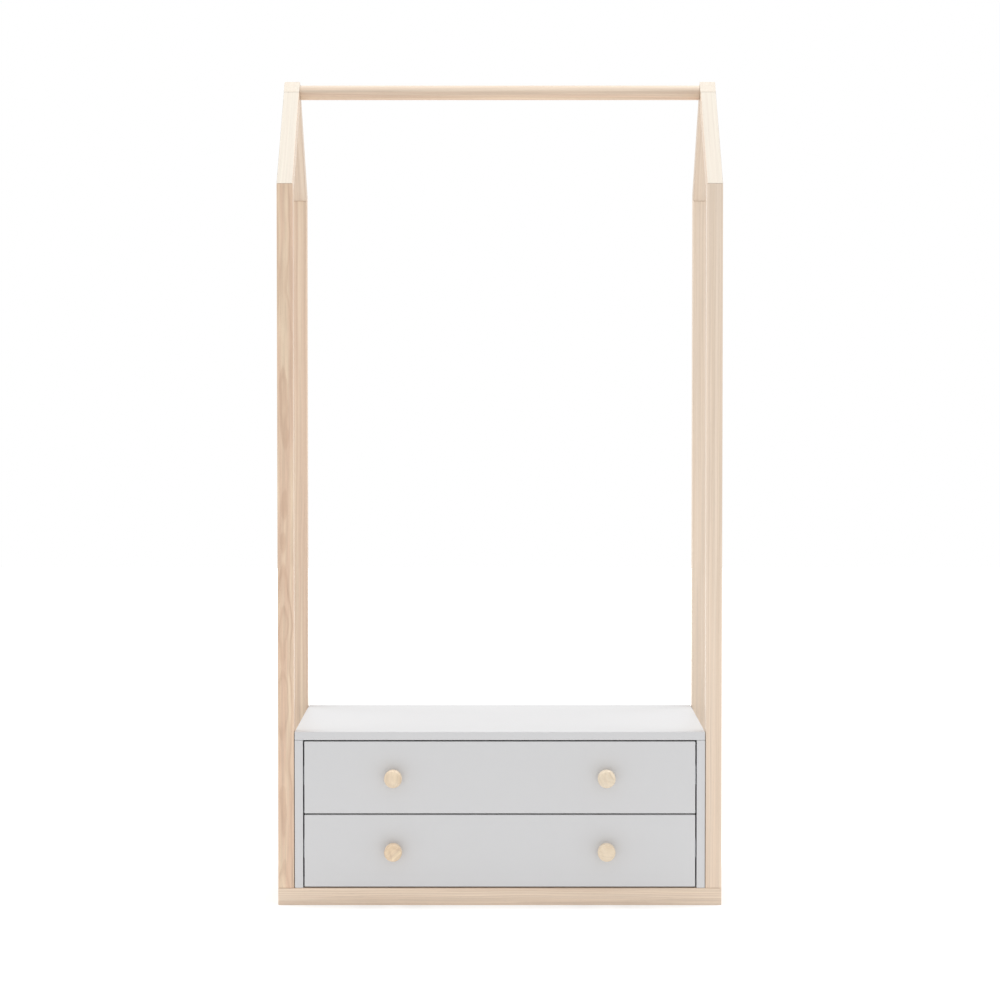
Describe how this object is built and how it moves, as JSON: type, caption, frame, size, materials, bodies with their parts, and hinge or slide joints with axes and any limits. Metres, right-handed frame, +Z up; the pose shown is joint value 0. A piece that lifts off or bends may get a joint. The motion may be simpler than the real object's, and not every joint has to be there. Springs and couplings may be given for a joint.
{
  "type": "wardrobe with drawers",
  "caption": "Open children's wardrobe: house-shaped pine side frames, a round hanging rail at the ridge, and a lacquered cabinet with knobbed drawers on ball-bearing slides.",
  "frame": {"origin": "on the floor, under the middle of the whole piece, its knobs included", "axes": "+Z up, +X to the right as seen from the front, +Y towards the back; the drawers open along -Y"},
  "size_m": [0.8, 0.4282, 1.5],
  "materials": {
    "pine": "clear pine, planed and sanded, matt clear lacquer",
    "pine_knob": "turned pine, sanded, clear lacquer",
    "grey_lacquer": "fibreboard with a smooth pale grey satin lacquer",
    "white_board": "chipboard with white melamine faces and edge bands",
    "hardboard": "thin fibreboard with a pale printed face",
    "zinc": "bright zinc plating on rolled steel"
  },
  "bodies": {
    "frame": {"base_rail_front": "pine", "base_rail_rear": "pine", "base_rail_left": "pine", "base_rail_right": "pine", "post_front_left": "pine", "post_front_right": "pine", "post_rear_left": "pine", "post_rear_right": "pine", "rafter_front_left": "pine", "rafter_front_right": "pine", "rafter_rear_left": "pine", "rafter_rear_right": "pine", "hanging_rail": "pine", "rail_bolt_left": "zinc", "rail_bolt_right": "zinc", "post_screw_front_left": "zinc", "post_screw_front_right": "zinc", "post_screw_rear_left": "zinc", "post_screw_rear_right": "zinc", "cabinet_top": "grey_lacquer", "cabinet_bottom": "grey_lacquer", "cabinet_back": "hardboard", "cabinet_side_left": "grey_lacquer", "cabinet_side_right": "grey_lacquer", "cabinet_screw_front_left": "zinc", "cabinet_screw_front_right": "zinc", "cabinet_screw_rear_left": "zinc", "cabinet_screw_rear_right": "zinc", "lower_slide_cabinet_member_left": "zinc", "lower_slide_cabinet_member_right": "zinc", "upper_slide_cabinet_member_left": "zinc", "upper_slide_cabinet_member_right": "zinc"},
    "lower_drawer": {"lower_drawer_front": "grey_lacquer", "lower_drawer_back": "white_board", "lower_drawer_bottom": "hardboard", "lower_drawer_side_left": "white_board", "lower_drawer_side_right": "white_board", "lower_knob_left": "pine_knob", "lower_knob_right": "pine_knob", "lower_knob_screw_left": "zinc", "lower_knob_screw_right": "zinc", "lower_slide_drawer_member_left": "zinc", "lower_slide_drawer_member_right": "zinc"},
    "lower_ball_cages": {"lower_ball_cage_left": "zinc", "lower_ball_cage_right": "zinc"},
    "upper_drawer": {"upper_drawer_front": "grey_lacquer", "upper_drawer_back": "white_board", "upper_drawer_bottom": "hardboard", "upper_drawer_side_left": "white_board", "upper_drawer_side_right": "white_board", "upper_knob_left": "pine_knob", "upper_knob_right": "pine_knob", "upper_knob_screw_left": "zinc", "upper_knob_screw_right": "zinc", "upper_slide_drawer_member_left": "zinc", "upper_slide_drawer_member_right": "zinc"},
    "upper_ball_cages": {"upper_ball_cage_left": "zinc", "upper_ball_cage_right": "zinc"}
  },
  "joints": [
    {"name": "lower_drawer_slide", "type": "slide", "parent": "frame", "child": "lower_drawer", "axis": [0, -1, 0], "range_m": [0, 0.26]},
    {"name": "lower_ball_cages_slide", "type": "slide", "parent": "frame", "child": "lower_ball_cages", "axis": [0, -1, 0], "range_m": [0, 0.13]},
    {"name": "upper_drawer_slide", "type": "slide", "parent": "frame", "child": "upper_drawer", "axis": [0, -1, 0], "range_m": [0, 0.26]},
    {"name": "upper_ball_cages_slide", "type": "slide", "parent": "frame", "child": "upper_ball_cages", "axis": [0, -1, 0], "range_m": [0, 0.13]}
  ],
  "couplings": [
    {"joint": "lower_ball_cages_slide", "follows": "lower_drawer_slide", "ratio": 0.5},
    {"joint": "upper_ball_cages_slide", "follows": "upper_drawer_slide", "ratio": 0.5}
  ]
}
